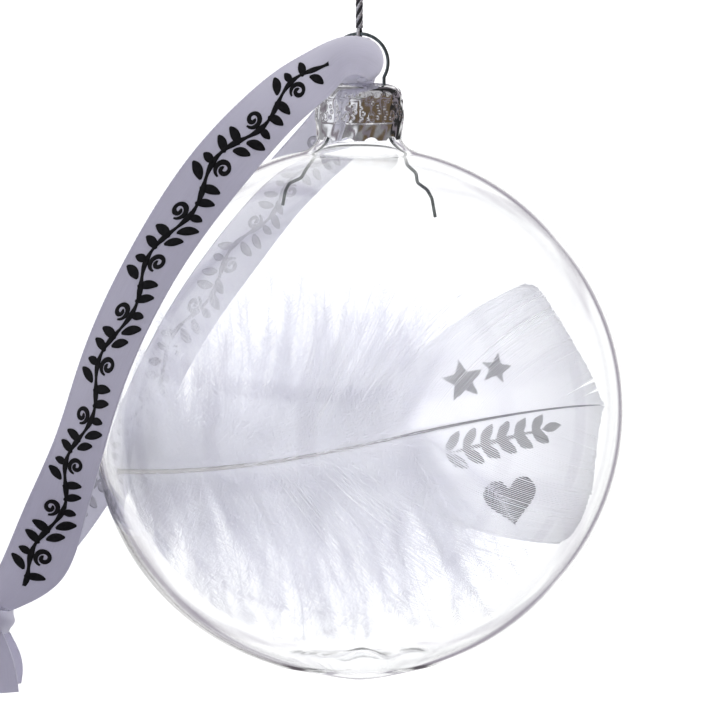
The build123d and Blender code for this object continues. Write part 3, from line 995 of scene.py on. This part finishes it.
def barb_path(root_x, angle, length, bend, depth, wave, phase, steps=18):
    """A curved line from the shaft, kept inside the ball."""
    t = np.linspace(0, 1, steps)
    while True:
        turn = math.radians(angle) + bend * t
        step = length / (steps - 1)
        x = root_x + np.concatenate([[0], np.cumsum(np.cos(turn[:-1]) * step)])
        z = shaft_height(root_x) + np.concatenate([[0], np.cumsum(np.sin(turn[:-1]) * step)])
        sway = wave * np.sin(t * length / 4.2 + phase) * t
        x = x - sway * math.sin(math.radians(angle))
        z = z + sway * math.cos(math.radians(angle))
        y = FEATHER_Y + depth * length * t**1.3
        path = np.stack([x, y, z], axis=1)
        if clears_the_glass(path) or length < 1.0:
            return path
        length *= 0.95


def barb_line(start, tip, angle, depth):
    """A barb that leaves the shaft at an angle and bends over towards its tip."""
    t = np.linspace(0, 1, BARB_STEPS)[:, None]
    reach = 0.52 * np.linalg.norm(tip - start)
    corner = start + reach * np.array((math.cos(angle), math.sin(angle)))
    line = bent(start, corner, tip, t)
    return np.hstack([line[:, :1], FEATHER_Y - depth * np.sin(t * math.pi / 2), line[:, 1:]])


def along_vane(keys, count):
    """Roots along the shaft with the tip and the angle of the barb at each."""
    roots = np.linspace(keys[0][0], keys[-1][0], count)
    values = spline([key[0] for key in keys], [(*tip, angle) for _, tip, angle in keys])(roots)
    starts = [np.array((root, shaft_height(root))) for root in roots]
    return [(start, value[:2], value[2]) for start, value in zip(starts, values)]


def vane_side(keys, splits, rng):
    """The barbs of one side of the vane, hooked together edge to edge, as an array of paths."""
    paths = []
    for number, (start, tip, angle) in enumerate(along_vane(keys, VANE_BARBS)):
        for place, apart in splits:
            off = start[0] - place
            tip = tip + apart * math.exp(-abs(off) / 1.1) * np.sign(off) * np.array((0.35, -0.6))
        tip = tip + np.array((rng.gauss(0, 0.08), rng.gauss(0, 0.05)))
        leaves_at = math.radians(angle + rng.gauss(0, 0.1))
        paths.append(barb_line(start, tip, leaves_at, 0.22 - 0.015 * (number % 2)))
    return np.array(paths)


def loose_side(keys, shape, rng):
    """Single barbs that lie beside each other without hooks."""
    widths = np.linspace(0.17, 0.07, BARB_STEPS)
    for start, tip, angle in along_vane(keys, LOOSE_BARBS):
        tip = start + (tip - start) * rng.uniform(0.72, 1.03)
        tip += np.array((rng.gauss(0, 0.7), rng.gauss(0, 0.4)))
        leaves_at = math.radians(angle + rng.gauss(0, 3.0))
        path = barb_line(start, tip, leaves_at, rng.uniform(-0.9, 0.9))
        shape.rings(blade_rings(path, widths, BARB_THICK))


def barb_widths(paths):
    """Widths that make each barb reach a little under the next one."""
    gaps = np.diff(paths, axis=0, append=2 * paths[-1:] - paths[-2:-1])
    runs = unit(np.gradient(paths, axis=1))
    across = np.linalg.norm(np.cross(gaps, runs), axis=2)
    return np.clip(across * 1.25, 0.1, 0.42)


def inside(polygon, x, z):
    """Whether points lie inside a polygon."""
    found = np.zeros(len(x), bool)
    for (x0, z0), (x1, z1) in zip(polygon, np.roll(polygon, -1, axis=0)):
        crosses = (z0 > z) != (z1 > z)
        found ^= crosses & (x < (x1 - x0) * (z - z0) / (z1 - z0 + 1e-12) + x0)
    return found


def placed(points, centre, tilt):
    """Turns an outline by a tilt in degrees and moves it to its centre."""
    c, s = math.cos(math.radians(tilt)), math.sin(math.radians(tilt))
    points = np.asarray(points, float)
    return points @ np.array([[c, s], [-s, c]]) + centre


def heart(centre, width, height, tilt):
    t = np.linspace(0, 2 * math.pi, 60)[:-1]
    x = np.sin(t) ** 3
    z = (13 * np.cos(t) - 5 * np.cos(2 * t) - 2 * np.cos(3 * t) - np.cos(4 * t)) / 14.5
    return placed(np.stack([x * width / 2, z * height / 2], axis=1), centre, tilt)


def star(centre, radius, tilt):
    turns = full_turn(10) + math.pi / 2
    size = np.tile((1.0, 0.45), 5) * radius
    return placed(np.stack([np.cos(turns) * size, np.sin(turns) * size], axis=1), centre, tilt)


def lens(root, angle, length, width):
    """A leaf's outline from its root."""
    t = np.linspace(0, 1, 12)
    edge = np.stack([t * length, np.sin(np.pi * t) ** 0.8 * width / 2], axis=1)
    return placed(np.concatenate([edge, (edge * (1, -1))[::-1][1:-1]]), root, angle)


def feather_motifs():
    """Outlines of the print: a heart, a leafy sprig above it and two stars over that."""
    outlines = [heart((22.9, -13.6), 8.1, 7.6, 10)]
    outlines += [star((15.6, 4.4), 3.5, 12), star((20.6, 6.2), 2.6, -8)]
    start, end = np.array((12.0, -7.0)), np.array((29.2, -2.6))
    tilt = math.degrees(math.atan2(*(end - start)[::-1]))
    outlines.append(lens(start, tilt, np.linalg.norm(end - start), 0.8))
    for share in np.linspace(0.06, 0.82, 6):
        root = start + (end - start) * share
        size = 4.3 - 1.4 * share
        outlines += [lens(root, tilt + 46, size, 1.7), lens(root, tilt - 46, size, 1.7)]
    outlines.append(lens(start + (end - start) * 0.9, tilt, 3.2, 1.5))
    return outlines


def hatch(shape, paths, outlines, every):
    """Ink on every so many barbs, wherever they run inside an outline."""
    for path in paths[::every]:
        fine = resampled(path, 0.15)
        hit = np.any([inside(outline, fine[:, 0], fine[:, 2]) for outline in outlines], axis=0)
        turns_over = np.flatnonzero(np.diff(np.concatenate([[False], hit, [False]]).astype(int)))
        for start, end in zip(turns_over[::2], turns_over[1::2]):
            if end - start > 2:
                run = fine[start:end] - (0, BARB_THICK * 0.75, 0)
                widths = np.full(len(run), INK_WIDTH)
                widths[0] = widths[-1] = INK_WIDTH / 2
                shape.rings(blade_rings(run, widths, 0.03))


def down_side(keys, rng):
    """Long soft barbs with fine barbules on both sides, and short ones under them, as one shape."""
    shape = Shape()
    first, last = keys[0][0], keys[-1][0]
    for count, shortest, longest in ((DOWN_BARBS, 0.62, 1.06), (SHORT_BARBS, 0.15, 0.55)):
        for i in range(count):
            root = first + (last - first) * (i + rng.random()) / count
            angle, length = keyed(keys, root)
            angle += rng.gauss(0, 8)
            length *= rng.uniform(shortest, longest)
            bend = math.copysign(rng.uniform(0.05, 0.75), angle)
            wave, phase = rng.uniform(0.2, 0.8), rng.uniform(0, 6.3)
            path = barb_path(root, angle, length, bend, rng.gauss(0, 0.055), wave, phase)
            widths = DOWN_WIDTH * np.linspace(1, 0.3, len(path))
            shape.rings(blade_rings(path, widths, DOWN_THICK))
            barbules(shape, path, rng)
    return shape


def barbules(shape, path, rng):
    """Fine hairs off a down barb: thin three-sided spikes."""
    fine = resampled(path, HAIR_STEP)
    tangents = unit(np.gradient(fine, axis=0))
    for place, (point, tangent) in enumerate(zip(fine, tangents)):
        side_dir = unit(np.cross(tangent, (0, 1, 0)))
        for side in (-1, 1):
            direction = tangent * rng.uniform(0.45, 1.1) + side_dir * side
            direction = unit(direction + np.array((0, rng.gauss(0, 0.35), 0)))
            span = rng.uniform(*HAIR_SPAN) * (1.15 - 0.5 * place / len(fine))
            base = unit(np.cross(direction, (0, 1, 0))) * HAIR_HALF
            reach = (direction + tangent * 0.25) * span
            while not clears_the_glass(point + reach) and np.linalg.norm(reach) > 0.2:
                reach *= 0.7
            corners = [point + base, point - base, point + (0, HAIR_HALF, 0), point + reach]
            shape.add(corners, [(0, 1, 2), (0, 3, 1), (1, 3, 2), (2, 3, 0)])


def feather():
    def piece(name, shape, look, slot, nodes=(), **settings):
        make(name, shape, [look], "feather", slot, nodes, **settings)

    rng = random.Random(11)
    at = lengths_along(shaft_line)
    at /= at[-1]
    quill = Shape().rings(tube_rings(shaft_line, 0.42 - 0.30 * at**0.8, 14))
    piece("feather_quill", quill, shaft_look(), "shaft", ["feather_shaft"])

    white = barb_look("vane_barbs", (0.87, 0.87, 0.91), (0.92, 0.92, 0.95), 0.4)
    soft = barb_look("down_barbs", (0.78, 0.78, 0.83), (0.88, 0.88, 0.92), 0.45)
    printed = Shape()
    outlines = feather_motifs()
    upper = ("upper", UPPER_VANE, UPPER_SPLITS, UPPER_LOOSE)
    lower = ("lower", LOWER_VANE, LOWER_SPLITS, LOWER_LOOSE)
    for name, keys, splits, loose in (upper, lower):
        paths = vane_side(keys, splits, rng)
        shape = Shape()
        loose_side(loose, shape, rng)
        for path, widths in zip(paths, barb_widths(paths)):
            shape.rings(blade_rings(path, widths, BARB_THICK))
        piece(f"vane_barbs_{name}", shape, white, "vane", [f"vane_{name}"])
        hatch(printed, paths, outlines, 2)
    piece("feather_print", printed, ink_look("feather_ink", (0.07, 0.07, 0.08), 0.6), "vane")

    for name, keys in (("upper", UPPER_DOWN), ("lower", LOWER_DOWN)):
        shape = down_side(keys, rng)
        piece(f"down_barbs_{name}", shape, soft, "down", [f"down_{name}"], smooth=False)


# ---- studio

CAMERA_DISTANCE = 0.87
CAMERA_LENS = 288.8
CAMERA_ELEVATION = 6.0
AIM = (0.1, 0.0, 7.57)
FLOOR_Z = -98.0
UPRIGHTS = 8  # upright dark lines in the light tent, evenly round it
FRONT_SHADE = (0.25, 0.24, 0.29)
BACK_LIGHT = (1.40, 1.40, 1.43)
INSIDE_LIGHT = (2.55, 2.55, 2.55)  # what reaches the feather through the glass
ACROSS_LIGHT = (3.9, 3.9, 3.9)  # and the ribbon behind, right through the ball
THIN_LINE, THROUGH_WHITE = (0.48, 0.45, 0.52), (1.32, 1.32, 1.32)  # what clear glass shows
BEYOND_THE_BALL = 7.5  # crossings of glass and feather before light counts as right across
AHEAD = (0.15, 0.155, 0.155)  # what shiny surfaces see straight in front of the ball
# and what lies over it, one panel over the other: towards, from, to, colour
PANELS = [
    ((-0.9, -0.35, 0), 0.40, 0.60, (1.05, 1.07, 1.12)),  # pale, at the front left
    ((0.85, -0.5, 0), 0.30, 0.60, (0.15, 0.11, 0.07)),  # brown, at the front right
    ((0, 0, 1), 0.35, 0.65, (0.60, 0.60, 0.62)),
    ((0, 0, -1), 0.19, 0.27, (0.30, 0.30, 0.31)),
]


def camera():
    target = Vector(in_frame(AIM))
    tilt = math.radians(CAMERA_ELEVATION)
    back = Vector((0, -math.cos(tilt), math.sin(tilt)))
    data = bpy.data.cameras.new("camera")
    data.lens, data.sensor_width = CAMERA_LENS, 36.0
    data.clip_start, data.clip_end = 0.05, 50.0
    made = bpy.data.objects.new("camera", data)
    made.location = target + back * CAMERA_DISTANCE
    made.rotation_euler = (-back).to_track_quat("-Z", "Y").to_euler()
    bpy.context.scene.collection.objects.link(made)
    bpy.context.scene.camera = made


def floor():
    bpy.ops.mesh.primitive_plane_add(size=8, location=in_frame((0, 0, FLOOR_Z)))
    plane = bpy.context.object
    plane.name = "floor"
    glow = {"Emission_Strength": 0.35, "Emission_Color": (1.0, 1.0, 1.0, 1.0)}
    look = Look("pale_floor", (0.93, 0.93, 0.93), 0.8, Specular_IOR_Level=0.1, **glow)
    plane.data.materials.append(look.material)
    plane.visible_diffuse = plane.visible_transmission = plane.visible_glossy = False


class LightTent:
    """The world: a white tent, with thin dark lines that draw the edges of clear glass."""

    def __init__(self):
        world = bpy.data.worlds.new("light_tent")
        world.use_nodes = True
        world.cycles.sampling_method = "NONE"
        bpy.context.scene.world = world
        self.tree = world.node_tree
        self.tree.nodes.clear()
        self.ray = self.tree.nodes.new("ShaderNodeLightPath").outputs
        self.direction = self.tree.nodes.new("ShaderNodeTexCoord").outputs["Generated"]
        self.x, self.y, self.z = self.run("ShaderNodeSeparateXYZ", self.direction).outputs

    def run(self, kind, *values, **settings):
        made = self.tree.nodes.new(kind)
        for key, value in settings.items():
            setattr(made, key, value)
        for socket, value in zip(made.inputs, values):
            plug(self.tree, socket, value)
        return made

    def math(self, operation, *values):
        return self.run("ShaderNodeMath", *values, operation=operation).outputs[0]

    def towards(self, way):
        """How far a ray goes one way."""
        made = self.run("ShaderNodeVectorMath", self.direction, way, operation="DOT_PRODUCT")
        return made.outputs["Value"]

    def step(self, value, low, high):
        made = self.run("ShaderNodeMapRange", value, low, high, interpolation_type="SMOOTHSTEP")
        return made.outputs[0]

    def blend(self, share, low, high):
        made = self.run("ShaderNodeMix", data_type="RGBA")
        for name, value in (("Factor", share), ("A", low), ("B", high)):
            socket = next(s for s in made.inputs if s.name == name and s.enabled)
            plug(self.tree, socket, (*value, 1.0) if isinstance(value, tuple) else value)
        return next(s for s in made.outputs if s.enabled)

    def dark_lines(self):
        """1 on white and 0 on a line: upright lines all round, and level ones above and below."""
        azimuth = self.math("ARCTAN2", self.y, self.x)
        wave = self.math("COSINE", self.math("MULTIPLY", azimuth, UPRIGHTS))
        height = self.math("ABSOLUTE", self.math("ADD", self.z, 0.1))
        level = self.math("ABSOLUTE", self.math("SUBTRACT", height, 0.32))
        return self.math("MINIMUM", self.step(wave, -0.97, -0.72), self.step(level, 0.03, 0.09))

    def mirrored(self, lines):
        """The panels, with a dark and a grey side behind them and a bright back."""
        seen = AHEAD
        for way, low, high, colour in PANELS:
            seen = self.blend(self.step(self.towards(way), low, high), seen, colour)
        sides = self.blend(self.step(self.x, -0.2, 0.2), (0.40, 0.40, 0.42), (0.03, 0.03, 0.03))
        seen = self.blend(self.step(self.y, 0.05, 0.20), seen, sides)
        seen = self.blend(self.step(self.y, 0.78, 0.90), seen, (1.15, 1.15, 1.15))
        return self.blend(lines, (0.25, 0.22, 0.25), seen)

    def build(self):
        lines = self.dark_lines()
        level = self.step(self.towards((0.1, 0.5, 0.15)), -0.50, 0.50)
        soft = self.blend(level, FRONT_SHADE, BACK_LIGHT)
        in_the_glass = self.math("GREATER_THAN", self.ray["Diffuse Depth"], 0.5)
        across = self.math("GREATER_THAN", self.ray["Transmission Depth"], BEYOND_THE_BALL)
        inside_light = self.blend(across, INSIDE_LIGHT, ACROSS_LIGHT)
        clear = self.blend(lines, THIN_LINE, THROUGH_WHITE)
        through = self.blend(in_the_glass, clear, inside_light)
        light = self.blend(self.ray["Is Glossy Ray"], soft, self.mirrored(lines))
        light = self.blend(self.ray["Is Transmission Ray"], light, through)
        light = self.blend(self.ray["Is Camera Ray"], light, (1.0, 1.0, 1.0))
        background = self.run("ShaderNodeBackground", light, 1.0)
        output = self.tree.nodes.new("ShaderNodeOutputWorld")
        self.tree.links.new(background.outputs[0], output.inputs["Surface"])


bpy.context.scene.view_settings.view_transform = "Standard"
camera()
metallic_thread()
glass_ball()
crown_cap()
hanger_wire()
satin_ribbon()
feather()
floor()
LightTent().build()
